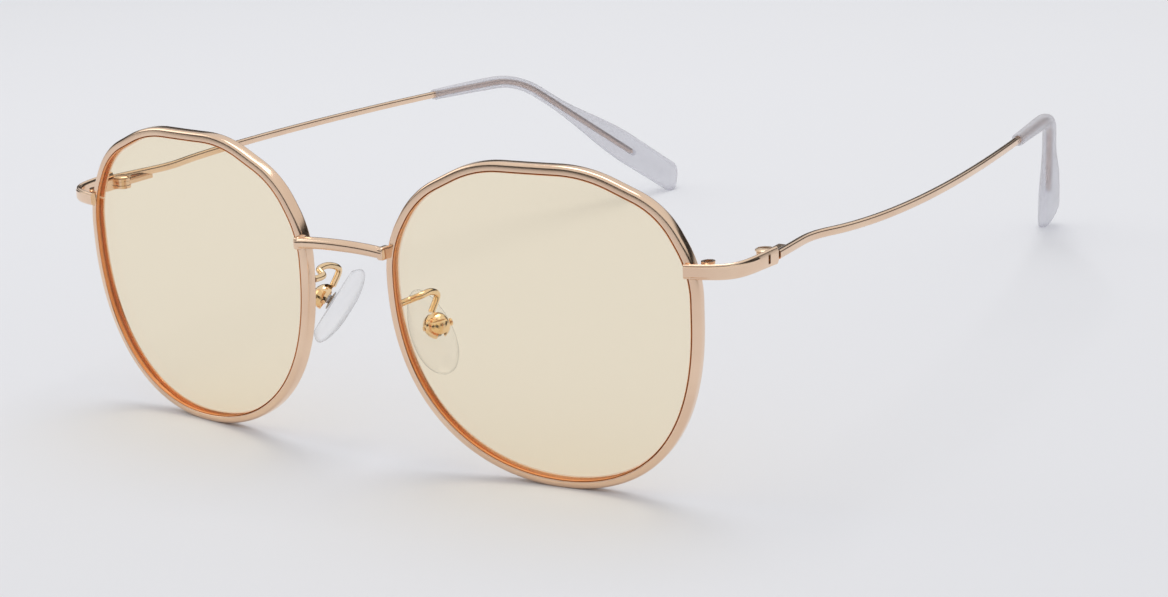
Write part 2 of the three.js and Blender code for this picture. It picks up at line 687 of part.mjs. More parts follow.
// The sleeve: from its tip forward over the outside to the mouth, then back down its bore.
function sleeveGeometry() {
  const neckTo = templeLengths[3] + 3;
  const flareTo = THREE.MathUtils.lerp(neckTo, templeLength, paddleFlare);
  const flare = (at) => THREE.MathUtils.smoothstep(at, neckTo, flareTo);
  const slim = (sleeveMouth + sleeveNeck) / 2;
  const outside = [
    [templeLength, paddleWidth * 0.72, paddleThickness * 0.5],
    [templeLength - 0.5, paddleWidth * 0.9, paddleThickness * 0.8],
    ...templeStops(templeLength - paddleNose, neckTo, 10).map((at) => [
      at,
      THREE.MathUtils.lerp(sleeveNeck, paddleWidth, flare(at)),
      THREE.MathUtils.lerp(sleeveNeck, paddleThickness, flare(at)),
    ]),
    ...templeStops(templeLengths[3], templeLengths[2], 5).map((at) => [at, sleeveNeck, sleeveNeck]),
    ...templeStops(templeLengths[2] - 3, mouthAt + 2, 4).map((at) => [at, slim, slim]),
    [mouthAt + 0.3, sleeveMouth, sleeveMouth],
    [mouthAt, sleeveMouth - 0.3, sleeveMouth - 0.3],
  ];
  const wide = [wireHeight + 2 * boreGap, wireWidth + 2 * boreGap];
  const narrow = [coreHeight + 2 * boreGap, coreWidth + 2 * boreGap];
  const narrowFrom = mouthAt + 2 * coreShoulder;
  const bore = [
    [mouthAt, ...wide],
    [narrowFrom, ...wide],
    [narrowFrom + boreShoulder, ...narrow],
    ...templeStops(mouthAt + 6, templeLengths[2], 4).map((at) => [at, ...narrow]),
    ...templeStops(templeLengths[2] + 2, templeLengths[3], 5).map((at) => [at, ...narrow]),
    ...templeStops(templeLengths[3] + 4, coreEnd + boreEndGap, 4).map((at) => [at, ...narrow]),
  ];
  const rings = [...outside, ...bore];
  const sleeve = skin(roundSection(12, 0.8), rings.length - 1, (sideways, upwards, station) => {
    const [at, height, thickness] = rings[station];
    return inFrame(templeFrame(at), sideways * thickness / 2, upwards * height / 2);
  });
  return cut(sleeve, [groundBlock()]);
}

// ---------------------------------------------------------------- nose pad
// The pad's frame: x across, y up the pad, z towards the nose, with its origin on the rocking axis.
const padUp = padTopAxis.clone().normalize();
const padFace = padFaceHint.clone().addScaledVector(padUp, -padFaceHint.dot(padUp)).normalize();
const padAcross = new THREE.Vector3().crossVectors(padUp, padFace);

// Where a pad rocks, given how far above its drawn place it is set.
function padPivot(setHigh) {
  const pivot = padCentre.clone().addScaledVector(padFace, -padLift - padThickness / 2);
  pivot.z += setHigh;
  return pivot;
}

function padGroup(setHigh) {
  const group = new THREE.Group();
  const basis = new THREE.Matrix4().makeBasis(padAcross, padUp, padFace);
  group.quaternion.setFromRotationMatrix(basis);
  group.position.copy(padPivot(setHigh));
  return group;
}

// The soft pad: an oval cushion, narrower at its top, with a domed face.
function padGeometry() {
  const layers = [
    [padLift, 0.86], [padLift + 0.5, 0.97], [padLift + 1.2, 1.0],
    [padLift + padThickness * 0.75, 0.88], [padLift + padThickness, 0.5],
  ];
  return skin(roundSection(28), layers.length - 1, (x, y, station) => {
    const [height, share] = layers[station];
    const narrow = 1 - padTaper * y;
    return new THREE.Vector3(x * narrow * share * padWidth / 2, y * share * padLength / 2, height);
  });
}

// The hole across the box and the lug.
function padBore() {
  const radius = padScrewRadius + pinPlay;
  const bore = new THREE.CylinderGeometry(radius, radius, 3 * boxRadius, 12);
  bore.rotateZ(Math.PI / 2);
  return bore;
}

// The pad's insert: a plate on the pad's back and a bored lug that hangs in the box.
function padInsertGeometry() {
  const plateZ = padLift - seatGap - padPlateSize.z / 2;
  const plate = box(padPlateSize.x, padPlateSize.y, padPlateSize.z, 0, 0, plateZ);
  const lug = new THREE.CylinderGeometry(lugRadius, lugRadius, lugWidth, 16);
  lug.rotateZ(Math.PI / 2);
  const neck = box(lugWidth, 2 * lugRadius, plateZ, 0, 0, plateZ / 2);
  return cut(joined([plate, lug, neck]), [padBore()]);
}

// The pad box: a small domed cup, slotted for the lug and bored for the screw.
function padBoxGeometry() {
  const profile = [];
  for (let i = 0; i <= domeSteps; i += 1) {
    const rise = (Math.PI / 2) * (i / domeSteps);
    profile.push([boxRadius * Math.sin(rise), -boxRadius * Math.cos(rise)]);
  }
  profile.push([boxRadius, boxTop], [0, boxTop]);
  const dome = turned(profile, 0, 0, 0, 32);
  const slotDepth = lugRadius + 0.25;
  const slot = box(boxSlotWidth, 4 * boxRadius, slotDepth + 2, 0, 0, (2 - slotDepth) / 2);
  const groove = box(4 * boxRadius, boxGrooveWidth, 2 * boxGrooveDepth, 0, 0, -boxRadius);
  return cut(dome, [slot, padBore(), groove]);
}

function padScrewGeometry() {
  const seat = boxRadius + seatGap;
  const profile = [
    [0, -seat], [padScrewRadius, -seat], [padScrewRadius, seat],
    [padScrewHeadRadius, seat], [padScrewHeadRadius, seat + padScrewHeadHeight],
    [0, seat + padScrewHeadHeight],
  ];
  const points = profile.map(([radius, height]) => new THREE.Vector2(radius, height));
  const screw = new THREE.LatheGeometry(points, 12);
  screw.rotateZ(Math.PI / 2);
  return closeUp(screw);
}

// The arm: a gooseneck wire from the back of the rim, out and back round two bends, then down to the
// top of the box.
function padArmGeometry(setHigh) {
  const rootHeight = armRootHeight + setHigh;
  const edge = outline.getPoint(nasalShare(rootHeight));
  const root = onEye(edge.x + rimWall / 2, rootHeight, rimDepth / 2 + seatGap);
  const boxTopPoint = padPivot(setHigh).addScaledVector(padUp, boxRadius + seatGap);
  const bends = armBends.map((bendStep) => root.clone().add(bendStep));
  const path = new THREE.CatmullRomCurve3([root, ...bends, boxTopPoint], false, 'centripetal');
  const stations = 22;
  return skin(roundSection(8), stations, (sideways, upwards, station) => {
    const frame = frameOn(path, station / stations, outward);
    return inFrame(frame, sideways * armDiameter / 2, upwards * armDiameter / 2);
  });
}

// ---------------------------------------------------------------- assembly
function piece(name, geometry, look) {
  const mesh = new THREE.Mesh(geometry, new THREE.MeshStandardMaterial(look));
  mesh.name = name;
  return mesh;
}

// A temple piece, swung in about the hinge.
function swung(geometry, turn) {
  geometry.translate(-hingeX, -hingeY, 0);
  geometry.rotateZ(turn);
  geometry.translate(hingeX, hingeY, 0);
  return geometry;
}

function side(name, { mirrored, ajar, setHigh }) {
  const group = new THREE.Group();
  const pad = padGroup(setHigh);
  group.add(
    piece(`rim_${name}`, rimGeometry(), roseGold),
    piece(`lens_${name}`, lensGeometry(), paleYellow),
    piece(`rim_lock_upper_${name}`, lockHalfGeometry(1), roseGold),
    piece(`rim_lock_lower_${name}`, lockHalfGeometry(-1), roseGold),
    piece(`rim_lock_screw_${name}`, lockScrewGeometry(), paleGold),
    piece(`end_piece_${name}`, endPieceGeometry(), roseGold),
    piece(`hinge_front_leaf_${name}`, frontLeafGeometry(), roseGold),
    piece(`hinge_temple_leaf_${name}`, swung(templeLeafGeometry(), ajar), roseGold),
    piece(`hinge_screw_${name}`, hingeScrewGeometry(), paleGold),
    piece(`temple_wire_${name}`, swung(wireGeometry(), ajar), roseGold),
    piece(`temple_tip_${name}`, swung(sleeveGeometry(), ajar), clearSleeve),
    piece(`pad_arm_${name}`, padArmGeometry(setHigh), paleGold),
    pad,
  );
  pad.add(
    piece(`pad_box_${name}`, padBoxGeometry(), paleGold),
    piece(`pad_screw_${name}`, padScrewGeometry(), paleGold),
    piece(`pad_insert_${name}`, padInsertGeometry(), paleGold),
    piece(`nose_pad_${name}`, padGeometry(), clearSilicone),
  );
  if (mirrored) {
    group.scale.x = -1;
  }
  return group;
}

const glasses = new THREE.Group();
glasses.name = 'blue_light_glasses';
glasses.add(side('left', { mirrored: false, ajar: 0, setHigh: -padSettle }));
glasses.add(side('right', { mirrored: true, ajar: rightTempleAjar, setHigh: padSettle }));
glasses.add(piece('bridge', bridgeGeometry(), roseGold));

// The origin is on the ground, in the middle of the glasses' overall length.
const extent = new THREE.Box3().setFromObject(glasses, true);
glasses.position.y = -(extent.min.y + extent.max.y) / 2;

export default glasses;
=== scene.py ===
# %% [markdown]
# # Blue light glasses
#
# Open wire glasses: two thin rose-gold rims with pale yellow lenses, a round bridge bar, bowed temple
# wires in clear sleeves, and nose pads on gooseneck arms. The CAD model gives every piece its place.
# The hinges, rim locks, pad boxes and screws are shown as the CAD made them. The long curved pieces
# are drawn again here with many more stations, because polished metal shows every facet.
#
# Lengths are in millimetres while a piece is worked out, and in metres once it is a mesh.

# %% Setting up
import json
import math

import bpy
import numpy as np
from mathutils import Matrix, Vector


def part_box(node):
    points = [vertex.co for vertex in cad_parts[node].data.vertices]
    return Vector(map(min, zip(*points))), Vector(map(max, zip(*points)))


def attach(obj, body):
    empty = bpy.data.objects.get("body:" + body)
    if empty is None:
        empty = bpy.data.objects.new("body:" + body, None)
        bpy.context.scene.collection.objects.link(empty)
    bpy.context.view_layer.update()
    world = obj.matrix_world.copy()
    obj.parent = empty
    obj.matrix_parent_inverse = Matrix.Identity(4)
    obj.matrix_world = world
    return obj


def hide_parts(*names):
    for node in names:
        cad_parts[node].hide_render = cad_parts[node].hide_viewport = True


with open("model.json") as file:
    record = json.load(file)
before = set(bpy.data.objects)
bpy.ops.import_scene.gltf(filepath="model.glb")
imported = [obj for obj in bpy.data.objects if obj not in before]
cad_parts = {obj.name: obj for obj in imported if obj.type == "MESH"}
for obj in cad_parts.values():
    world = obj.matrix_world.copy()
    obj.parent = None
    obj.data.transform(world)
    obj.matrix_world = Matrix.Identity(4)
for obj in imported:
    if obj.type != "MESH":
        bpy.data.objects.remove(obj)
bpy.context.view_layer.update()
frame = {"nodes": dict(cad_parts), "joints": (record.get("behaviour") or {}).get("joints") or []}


# %% [markdown]
# ## How the glasses stand
#
# The eye centre is the middle of the left lens. Each piece is worked out for the wearer's left side,
# with the eye centre at Y = 0. Then it is moved back to the CAD's own origin, and mirrored for the
# right side.

# %% Driving sizes
MM = 0.001
SIDES = {"left": 1.0, "right": -1.0}
pad_rise = {"left": -1.0, "right": 1.0}           # how far each nose pad is set above the middle
ajar = {"left": 0.0, "right": math.radians(1.4)}  # how far each temple stands off its stop

eye_half = np.array([25.1, 24.5])
bridge_gap = 15.3
base_radius = 141.0
wrap, tilt = math.radians(6.3), math.radians(2.0)
foot_depth = 0.15
rim_depth, rim_wall = 2.0, 1.25
seat_gap = 0.12
barrel_radius = 1.35

eye_centre = np.array([
    bridge_gap / 2 + eye_half[0] * math.cos(wrap), 0.0, eye_half[1] * math.cos(tilt) - foot_depth,
])
bridge_front = -3.5334                            # the bridge bar's front, before the move
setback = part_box("bridge")[0].y / MM - bridge_front
print(f"eye centre {eye_centre.round(2)}, moved by {setback:.2f} mm along Y")


def on_eye(x, z, back):
    """Points of the lens: x to the temple side, z up, and back behind its surface.

    The sag is (x^2 + z^2) / (2 R). The point is tilted about X and then wrapped about Z."""
    sag = (x * x + z * z) / (2 * base_radius) + back
    y = sag * math.cos(tilt) - z * math.sin(tilt)
    height = z * math.cos(tilt) + sag * math.sin(tilt)
    return np.stack([
        eye_centre[0] + x * math.cos(wrap) - y * math.sin(wrap),
        eye_centre[1] + x * math.sin(wrap) + y * math.cos(wrap),
        eye_centre[2] + height,
    ], axis=-1)

# %% [markdown]
# ## Tools for surfaces
#
# Almost every piece is a skin over rings of points: a section carried along a line. One function turns
# a block of rings into a closed mesh, and a few more sample lines and set a frame at each station.

# %% Lines, frames and skins
def curve(points, count=80):
    """Points along the Bezier curve of two, three or four control points.

    Each point is the sum of the control points weighted by C(n, k) t^k (1 - t)^(n - k)."""
    points = np.asarray(points, float)
    order = len(points) - 1
    t = np.linspace(0, 1, count)[:, None]
    weights = [math.comb(order, k) * t**k * (1 - t) ** (order - k) for k in range(order + 1)]
    return sum(w * p for w, p in zip(weights, points))


def lengths_along(line):
    """The distance from the start of a line to each of its points."""
    steps = np.linalg.norm(np.diff(line, axis=0), axis=1)
    return np.concatenate([[0.0], np.cumsum(steps)])


def at_distances(line, distances):
    """Points on a line at the given distances along it, by straight interpolation."""
    run = lengths_along(line)
    return np.stack([np.interp(distances, run, line[:, k]) for k in range(line.shape[1])], axis=-1)


def towards(corner, target, reach):
    """The point at a reach from a corner in the direction of a target."""
    step = np.asarray(target, float) - corner
    return corner + step * reach / np.linalg.norm(step)


def unit(vectors):
    """Each vector divided by its own length."""
    return vectors / np.linalg.norm(vectors, axis=-1, keepdims=True)


def side_and_up(along, hint):
    """Side and up for each direction of a line. Side is the part of the hint that lies across it."""
    side = unit(hint - along * (along @ np.asarray(hint, float))[:, None])
    return side, np.cross(along, side)


def rings_round(line, side, up, across, upwards):
    """Rings of points round a line: across and upwards are (stations, around) offsets from it."""
    return line[:, None] + across[..., None] * side[:, None] + upwards[..., None] * up[:, None]


def swept(line, hint, across, upwards):
    """Rings round a line, in frames that follow the line's own direction."""
    side, up = side_and_up(unit(np.gradient(line, axis=0)), hint)
    return rings_round(line, side, up, across, upwards)


def soften(values, power):
    """Values raised to a power with their signs kept. A power below one squares off a sine."""
    return np.sign(values) * np.abs(values) ** power


def soft_section(count, squareness=1.0):
    """A unit section: a circle, or a soft square as squareness falls below one."""
    turn = (np.arange(count) + 0.5) / count * 2 * np.pi
    return soften(np.cos(turn), squareness), soften(np.sin(turn), squareness)


def skin(name, rings, first=None, last=None, crease=40):
    """A closed mesh over rings of points, shape (stations, around, 3), in millimetres.

    Each quad joins neighbours on two rings. An end closes with a flat face, or with a fan to a point
    if first or last is given. Faces are turned outwards by the sign of the enclosed volume."""
    stations, around = rings.shape[:2]
    points = rings.reshape(-1, 3)
    ids = np.arange(stations * around).reshape(stations, around)
    beside = np.roll(ids, -1, axis=1)
    quads = np.stack([ids[:-1], beside[:-1], beside[1:], ids[1:]], axis=-1).reshape(-1, 4)
    faces = quads.tolist()
    for row, tip, forwards in ((0, first, False), (-1, last, True)):
        edge = ids[row] if forwards else ids[row][::-1]
        if tip is None:
            faces.append(edge.tolist())
        else:
            points = np.vstack([points, tip])
            hub = np.full(around, len(points) - 1)
            faces += np.stack([edge, np.roll(edge, -1), hub], axis=-1).tolist()
    corners = points[quads] - points.mean(axis=0)
    volume = np.einsum("ij,ij->", np.cross(corners[:, 0], corners[:, 1]), corners[:, 2])
    volume += np.einsum("ij,ij->", np.cross(corners[:, 0], corners[:, 2]), corners[:, 3])
    if volume < 0:
        faces = [face[::-1] for face in faces]
    return new_piece(name, points, faces, crease)


def new_piece(name, points, faces, crease):
    """An object from points in millimetres and faces, smooth except at creases."""
    mesh = bpy.data.meshes.new(name)
    mesh.from_pydata((points * MM).tolist(), [], faces)
    mesh.validate()
    mesh.shade_smooth()
    mesh.set_sharp_from_angle(angle=math.radians(crease))
    piece = bpy.data.objects.new(name, mesh)
    bpy.context.scene.collection.objects.link(piece)
    return piece


def to_side(points, side):
    """Points worked out for the left side, moved to the CAD's origin and mirrored for the right."""
    moved = points + np.array([0.0, setback, 0.0])
    return moved * np.array([SIDES[side], 1.0, 1.0])


def place(piece, body, node, material):
    """The piece rides on a body, stands for a CAD node, and takes a material."""
    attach(piece, body)
    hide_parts(node)
    piece.data.materials.clear()
    piece.data.materials.append(material)
    print(f"{piece.name}: {len(piece.data.polygons)} faces")
    return piece

# %% [markdown]
# ## Materials
#
# The metal is plated: a pinkish gold on the frame, and a yellower gold on the small fittings. One flat
# colour and one roughness would do for a far view. Here noise on the colour and the roughness and a
# very small bump give the slight unevenness of plating, so that highlights break up a little instead
# of running as perfect lines.

# %% Plated metal
GRAIN = 900


def shader_tree(name):
    """A new material with only its output node, its tree, and a short way to add nodes."""
    material = bpy.data.materials.new(name)
    material.use_nodes = True
    tree = material.node_tree
    tree.nodes.clear()
    output = tree.nodes.new("ShaderNodeOutputMaterial")

    def add(kind, **values):
        node = tree.nodes.new(kind)
        for key, value in values.items():
            node.inputs[key.replace("_", " ")].default_value = value
        return node

    return material, tree, output, add


def set_tones(ramp, first, last, between=()):
    """Sets the two ends of a colour ramp and adds marks between, each a position and a colour."""
    for index, (position, colour) in enumerate((first, last)):
        ramp.elements[index].position = position
        ramp.elements[index].color = (*colour, 1)
    for position, colour in between:
        ramp.elements.new(position).color = (*colour, 1)


def plated(name, bright, deep, roughness, bump=0.05):
    """Metal whose colour drifts between two golds, with noise on its roughness and a fine grain."""
    material, tree, output, add = shader_tree(name)
    link = tree.links.new
    surface = add("ShaderNodeBsdfPrincipled", Metallic=1.0)
    where = tree.nodes.new("ShaderNodeTexCoord")
    drift = add("ShaderNodeTexNoise", Scale=90.0, Detail=3.0)
    link(where.outputs["Object"], drift.inputs["Vector"])
    colours = tree.nodes.new("ShaderNodeValToRGB")
    set_tones(colours.color_ramp, (0.35, deep), (0.65, bright))
    link(drift.outputs["Fac"], colours.inputs["Fac"])
    link(colours.outputs["Color"], surface.inputs["Base Color"])
    shrink = add("ShaderNodeMapping", Scale=(GRAIN, GRAIN, GRAIN))
    link(where.outputs["Object"], shrink.inputs["Vector"])
    speckle = add("ShaderNodeTexNoise", Scale=8.0, Detail=4.0)
    link(shrink.outputs["Vector"], speckle.inputs["Vector"])
    rough = add("ShaderNodeMapRange", To_Min=roughness * 0.8, To_Max=roughness * 1.25)
    link(speckle.outputs["Fac"], rough.inputs["Value"])
    link(rough.outputs["Result"], surface.inputs["Roughness"])
    relief = add("ShaderNodeBump", Strength=bump, Distance=0.0001)
    link(speckle.outputs["Fac"], relief.inputs["Height"])
    link(relief.outputs["Normal"], surface.inputs["Normal"])
    link(surface.outputs["BSDF"], output.inputs["Surface"])
    return material


rose_gold = plated("rose_gold_plating", (0.91, 0.68, 0.50), (0.85, 0.61, 0.44), 0.15)
pale_gold = plated("pale_gold_plating", (0.96, 0.72, 0.45), (0.88, 0.62, 0.36), 0.12)
screw_gold = plated("turned_screw_gold", (0.84, 0.64, 0.46), (0.72, 0.52, 0.36), 0.28, bump=0.12)
print("metals:", rose_gold.name, pale_gold.name, screw_gold.name)

# %% [markdown]
# The lenses, the sleeves and the soft pads are clear. Glass that bends light would be truer, but thin
# pieces hardly bend it and it renders with more noise. So these let light straight through and tint
# it, and each mixes in a cloudy part and a shiny one. Both grow where the surface is seen edge on.

# %% Clear materials
def see_through(name, tint, cloud, cloudiness, roughness, head_on, grazing, outline=0.0, amber=None):
    """Light passes with a tint. A cloudy share scatters it, and a mirror share grows to the edge.

    Both shares grow with (1 - cos)^n of the angle of sight: n is 5 for the mirror, as Schlick wrote
    it, and 3 for the cloud. Where the mesh's own "edge" attribute is one, the amber takes over: a
    painted reflection of the gold rim's inner wall seen through the tinted lens."""
    material, tree, output, add = shader_tree(name)
    link = tree.links.new
    where = tree.nodes.new("ShaderNodeTexCoord")
    clear = add("ShaderNodeBsdfTransparent", Color=(*tint, 1))
    body = add("ShaderNodeBsdfPrincipled", Base_Color=(*cloud, 1), Roughness=0.45)
    haze = add("ShaderNodeTexNoise", Scale=160.0, Detail=2.0)
    link(where.outputs["Object"], haze.inputs["Vector"])
    spread = add("ShaderNodeMapRange", To_Min=cloudiness * 0.85, To_Max=cloudiness * 1.15)
    link(haze.outputs["Fac"], spread.inputs["Value"])
    steep = add("ShaderNodeLayerWeight", Blend=0.5)

    def facing_power(exponent):
        power = tree.nodes.new("ShaderNodeMath")
        power.operation = "POWER"
        power.inputs[1].default_value = exponent
        link(steep.outputs["Facing"], power.inputs[0])
        return power.outputs["Value"]

    def mix(share, first, second):
        node = tree.nodes.new("ShaderNodeMixShader")
        link(share, node.inputs["Fac"])
        link(first, node.inputs[1])
        link(second, node.inputs[2])
        return node.outputs["Shader"]

    edge = tree.nodes.new("ShaderNodeMath")
    edge.operation = "MULTIPLY_ADD"
    edge.inputs[1].default_value = outline
    link(facing_power(3.0), edge.inputs[0])
    link(spread.outputs["Result"], edge.inputs[2])
    inside = mix(edge.outputs["Value"], clear.outputs["BSDF"], body.outputs["BSDF"])
    shine = add("ShaderNodeBsdfGlossy", Roughness=roughness)
    mirror = add("ShaderNodeMapRange", To_Min=head_on, To_Max=grazing)
    link(facing_power(5.0), mirror.inputs["Value"])
    whole = mix(mirror.outputs["Result"], inside, shine.outputs["BSDF"])
    # The amber is painted reflection: a lit amber colour on the lens bevel stands for the gold rim's
    # inner wall seen through the tinted lens.
    if amber is not None:
        painted_rim_reflection = add("ShaderNodeBsdfPrincipled", Base_Color=(*amber, 1), Roughness=0.3)
        marked = tree.nodes.new("ShaderNodeAttribute")
        marked.attribute_name = "edge"
        whole = mix(marked.outputs["Fac"], whole, painted_rim_reflection.outputs["BSDF"])
    link(whole, output.inputs["Surface"])
    return material


# The lens's amber is painted reflection on its bevel, standing for the gold rim's inner wall seen through
# the tint.
lens_tint = see_through(
    "pale_yellow_lens", tint=(1.0, 0.95, 0.84), cloud=(0.93, 0.86, 0.66), cloudiness=0.01,
    roughness=0.02, head_on=0.02, grazing=0.20, amber=(0.90, 0.34, 0.09),
)
sleeve_grey = see_through(
    "frosted_sleeve", tint=(0.93, 0.93, 0.95), cloud=(0.72, 0.71, 0.75), cloudiness=0.20,
    roughness=0.35, head_on=0.03, grazing=0.25, outline=0.45,
)
clear_silicone = see_through(
    "clear_silicone", tint=(0.993, 0.993, 0.995), cloud=(0.55, 0.56, 0.60), cloudiness=0.004,
    roughness=0.12, head_on=0.03, grazing=0.55, outline=0.6,
)
print("clear materials:", lens_tint.name, sleeve_grey.name, clear_silicone.name)

# %% [markdown]
# ## The eye's outline
#
# The rim is flat-sided above and one round sweep below. It could be one smooth loop through a list of
# points, but then no corner could be moved by itself. So the upper half is straight facets joined by
# short curves, and two Bezier curves make the lower half and meet at the lowest point.

# %% The outline of the eye
corner_shares = np.array([
    [1.0, 0.43], [0.795, 0.795], [0.34, 1.0], [-0.365, 1.0], [-0.797, 0.778], [-1.0, 0.43],
])
corner_reach = 4.5
temple_start, nasal_end, bottom_lean = 0.14, 0.22, 0.09
nasal_drop, nasal_sweep = 0.87, 0.54      # how far the lower curves' handles reach on the nose side
temple_drop, temple_sweep = 0.72, 0.58    # and on the temple side, as shares of the eye's halves
lock_height = 10.8


def eye_outline():
    """The outside of the rim as a line in the lens plane, from the temple side over the top."""
    start = eye_half * [1, temple_start]
    end = eye_half * [-1, nasal_end]
    bottom = eye_half * [bottom_lean, -1]
    stops = np.vstack([start, corner_shares * eye_half, end])
    parts, last = [], start
    for before, corner, after in zip(stops, stops[1:], stops[2:]):
        enter, leave = towards(corner, before, corner_reach), towards(corner, after, corner_reach)
        parts += [curve([last, enter], 30)[:-1], curve([enter, corner, leave], 40)[:-1]]
        last = leave
    low_nasal = [end - [0, nasal_drop * eye_half[1]], bottom - [nasal_sweep * eye_half[0], 0]]
    low_temple = [bottom + [temple_sweep * eye_half[0], 0], start - [0, temple_drop * eye_half[1]]]
    parts += [curve([last, end], 30)[:-1], curve([end, *low_nasal, bottom], 200)[:-1]]
    parts += [curve([bottom, *low_temple, start], 200)]
    return np.vstack(parts)


eye_line = eye_outline()
eye_length = lengths_along(eye_line)[-1]
fine_count, fine_reach = 4000, 4
fine_shares = np.linspace(0, 1, fine_count + 1)[:-1]
fine_line = at_distances(eye_line, fine_shares * eye_length)
fine_along = unit(np.roll(fine_line, -fine_reach, axis=0) - np.roll(fine_line, fine_reach, axis=0))
at_lock = np.argmax(fine_line[:, 1] >= lock_height)
lock_share, lock_edge = fine_shares[at_lock], fine_line[at_lock]
print(f"the rim is {eye_length:.1f} mm round, and opens at {lock_edge.round(2)}")


def inset_line(shares, inset):
    """Points inset from the outline, at shares of its length counted from the rim lock."""
    wanted = (np.asarray(shares) + lock_share) % 1.0

    def read(column):
        return np.interp(wanted, fine_shares, column, period=1.0)

    x, z = read(fine_line[:, 0]), read(fine_line[:, 1])
    along_x, along_z = read(fine_along[:, 0]), read(fine_along[:, 1])
    return x - along_z * inset, z + along_x * inset


def nasal_edge(height):
    """Where the outline passes a height on the side of the nose."""
    nose_side = fine_line[fine_line[:, 0] < -eye_half[0] / 2]
    return nose_side[np.argmin(np.abs(nose_side[:, 1] - height))]

# %% [markdown]
# ## Rims
#
# A rim is one drawn wire with a groove on its inside, bent round the lens and closed by a lock. A curve
# with a bevel profile could make it, but a grid gives a station wherever one is wanted and keeps the
# gap at the lock exact. The section has small round edges, which carry the bright lines that run round
# the front.

# %% The rim
rim_bend = 0.42
groove_half, groove_floor_half, groove_depth = 0.65, 0.25, 0.6
lock_gap = 0.4


def rim_section():
    """The wire's section as (inset, back): round corners outside, small ones and a groove inside."""
    half, large, small = rim_depth / 2, rim_bend, rim_bend / 2
    turn = np.linspace(0, np.pi / 2, 6)
    outer = [[large - large * math.cos(t), -half + large - large * math.sin(t)] for t in turn]
    inner = [[rim_wall - small + small * math.sin(t), -half + small - small * math.cos(t)] for t in turn]
    groove = [[rim_wall, -groove_half], [rim_wall - groove_depth, -groove_floor_half]]
    front_half = np.array(outer + inner + groove)
    return np.vstack([front_half, front_half[::-1] * [1, -1]])


def make_rim(side):
    """The section carried round the outline, open at the lock, and flat where it meets the table."""
    section = rim_section()
    gap = lock_gap / 2 / eye_length
    shares = np.linspace(gap, 1 - gap, 360)[:, None]
    x, z = inset_line(shares, section[None, :, 0])
    rings = on_eye(x, z, np.broadcast_to(section[None, :, 1], x.shape))
    rings[..., 2] = np.maximum(rings[..., 2], 0.0)
    return skin(f"rim_wire_{side}", to_side(rings, side), crease=35)


for side in SIDES:
    place(make_rim(side), "front", f"rim_{side}", rose_gold)

# %% [markdown]
# ## Lenses
#
# A lens is a shallow dish whose bevel sits in the rim's groove. A thick flat shape could be bent into
# one, but here each ring is the rim's own outline, set in, so the lens fits whatever shape the rim has.
# The lens's own dye is pale yellow. Its bevel is painted deep amber: a painted reflection of the gold
# rim's inner wall seen through the tinted lens, and of the long way light goes through the edge. So the
# edge carries a mark that the material reads. The mark is weaker on the rear half.

# %% The lens
lens_half = 0.9
lens_edge = rim_wall + 0.12
bevel_tip = rim_wall - groove_depth + 0.18
bevel_half, bevel_tip_half = 0.45, 0.1
# Shares of amber painted on the bevel as a reflection of the gold rim, at its front, tip and rear.
front_painted_amber, tip_painted_amber, rear_painted_amber = 1.0, 0.5, 0.3


def make_lens(side):
    """A dish: rings shrink from the edge to the middle, in front and behind, with a V bevel between.

    A row is how far the ring has shrunk, its inset, how far back it lies, and its share of amber,
    which is a painted reflection of the gold rim seen through the tinted lens."""
    inward = np.append(np.linspace(0.97, 0.03, 24), 0.004)
    rows = [(i, lens_edge, -lens_half, 0) for i in inward]
    rows += [
        (0, lens_edge, -lens_half, front_painted_amber), (0, lens_edge, -bevel_half, front_painted_amber),
        (0, bevel_tip, -bevel_tip_half, front_painted_amber), (0, bevel_tip, bevel_tip_half, tip_painted_amber),
        (0, lens_edge, bevel_half, rear_painted_amber), (0, lens_edge, lens_half, rear_painted_amber),
    ]
    rows += [(i, lens_edge, lens_half, 0) for i in inward[::-1]]
    inwards, insets, backs, painted_amber_share = (np.array(column, float)[:, None] for column in zip(*rows))
    x, z = inset_line(np.linspace(0, 1, 240, endpoint=False)[None, :], insets)
    x, z = x * (1 - inwards), z * (1 - inwards)
    rings = on_eye(x, z, np.broadcast_to(backs, x.shape))
    middle = np.zeros(1)
    front = to_side(on_eye(middle, middle, middle - lens_half), side)
    rear = to_side(on_eye(middle, middle, middle + lens_half), side)
    lens = skin(f"lens_dish_{side}", to_side(rings, side), front, rear, crease=35)
    # The edge attribute holds each point's share of painted amber reflection.
    marks = np.append(np.repeat(painted_amber_share, rings.shape[1]), [0.0, 0.0])
    lens.data.attributes.new("edge", "FLOAT", "POINT").data.foreach_set("value", marks)
    return lens


for side in SIDES:
    place(make_lens(side), "front", f"lens_{side}", lens_tint)

# %% [markdown]
# ## The bridge
#
# A round bar lies in front of both rims and arches up a little between them. It is a circle carried
# along one Bezier curve, which is simpler than bending a cylinder. A small soft block of solder wraps
# each end and runs onto the side of the rim, so no gap shows between bar and rim. A metaball could
# blend them, but a block with soft edges keeps the small size and place that solder has.

# %% The bridge bar and its solder
bridge_thickness, bridge_height = 1.8, 9.65
bridge_overrun, bridge_rise, bridge_bow = 0.25, 0.6, 0.11
end_share, end_taper = 0.9, 3.0
foot_size = np.array([1.1, 2.5, 2.0])
foot_inset, foot_back = 0.05, 0.45
nose_edge = nasal_edge(bridge_height)
seat = on_eye(nose_edge[0], nose_edge[1], -rim_depth / 2)
bar_y = seat[1] - seat_gap - bridge_thickness / 2


